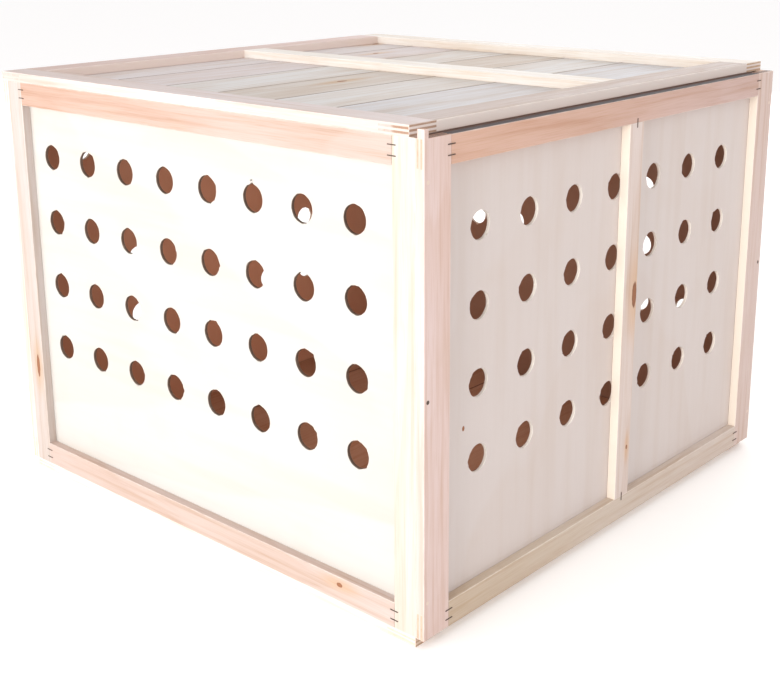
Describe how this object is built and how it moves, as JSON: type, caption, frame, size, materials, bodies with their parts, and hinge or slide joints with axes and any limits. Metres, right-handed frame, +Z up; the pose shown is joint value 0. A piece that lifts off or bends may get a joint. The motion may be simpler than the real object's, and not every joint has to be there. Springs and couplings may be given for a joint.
{
  "type": "wooden pet carrier",
  "caption": "Square box crate of batten frames with perforated plywood walls, a boarded floor and a loose boarded lid that lifts off",
  "frame": {"origin": "the middle of the footprint, on the surface that the crate stands on", "axes": "+Z up, -Y out of the front wall (the picture's left side), +X out of the right wall (the picture's right side)"},
  "size_m": [0.8072, 0.8012, 0.614],
  "materials": {
    "batten_pine": "planed, unfinished",
    "board_pine": "sawn, unfinished",
    "plywood": "sanded, unfinished",
    "steel_wire": "bare wire"
  },
  "bodies": {
    "crate": {"back_wall_bottom_rail": "batten_pine", "back_wall_left_stile": "batten_pine", "back_wall_panel": "plywood", "back_wall_right_stile": "batten_pine", "back_wall_staples": "steel_wire", "back_wall_top_rail": "batten_pine", "corner_nails": "steel_wire", "floor_back_member": "batten_pine", "floor_board_1": "board_pine", "floor_board_2": "board_pine", "floor_board_3": "board_pine", "floor_board_4": "board_pine", "floor_board_5": "board_pine", "floor_board_6": "board_pine", "floor_board_7": "board_pine", "floor_board_nails": "steel_wire", "floor_cross_bar": "batten_pine", "floor_frame_nails": "steel_wire", "floor_front_member": "batten_pine", "floor_left_member": "batten_pine", "floor_right_member": "batten_pine", "front_wall_bottom_rail": "batten_pine", "front_wall_left_stile": "batten_pine", "front_wall_panel": "plywood", "front_wall_right_stile": "batten_pine", "front_wall_staples": "steel_wire", "front_wall_top_rail": "batten_pine", "left_wall_bottom_rail": "batten_pine", "left_wall_left_stile": "batten_pine", "left_wall_mullion": "batten_pine", "left_wall_panel": "plywood", "left_wall_right_stile": "batten_pine", "left_wall_staples": "steel_wire", "left_wall_top_rail": "batten_pine", "panel_pins": "steel_wire", "right_wall_bottom_rail": "batten_pine", "right_wall_left_stile": "batten_pine", "right_wall_mullion": "batten_pine", "right_wall_panel": "plywood", "right_wall_right_stile": "batten_pine", "right_wall_staples": "steel_wire", "right_wall_top_rail": "batten_pine"},
    "lid": {"lid_back_member": "batten_pine", "lid_board_1": "board_pine", "lid_board_2": "board_pine", "lid_board_3": "board_pine", "lid_board_4": "board_pine", "lid_board_5": "board_pine", "lid_board_6": "board_pine", "lid_board_nails": "steel_wire", "lid_cross_bar": "batten_pine", "lid_front_member": "batten_pine", "lid_left_member": "batten_pine", "lid_right_member": "batten_pine"}
  },
  "joints": [
    {"name": "lid_lift", "type": "slide", "parent": "crate", "child": "lid", "axis": [0, 0, 1], "range_m": [0, 0.3]}
  ]
}
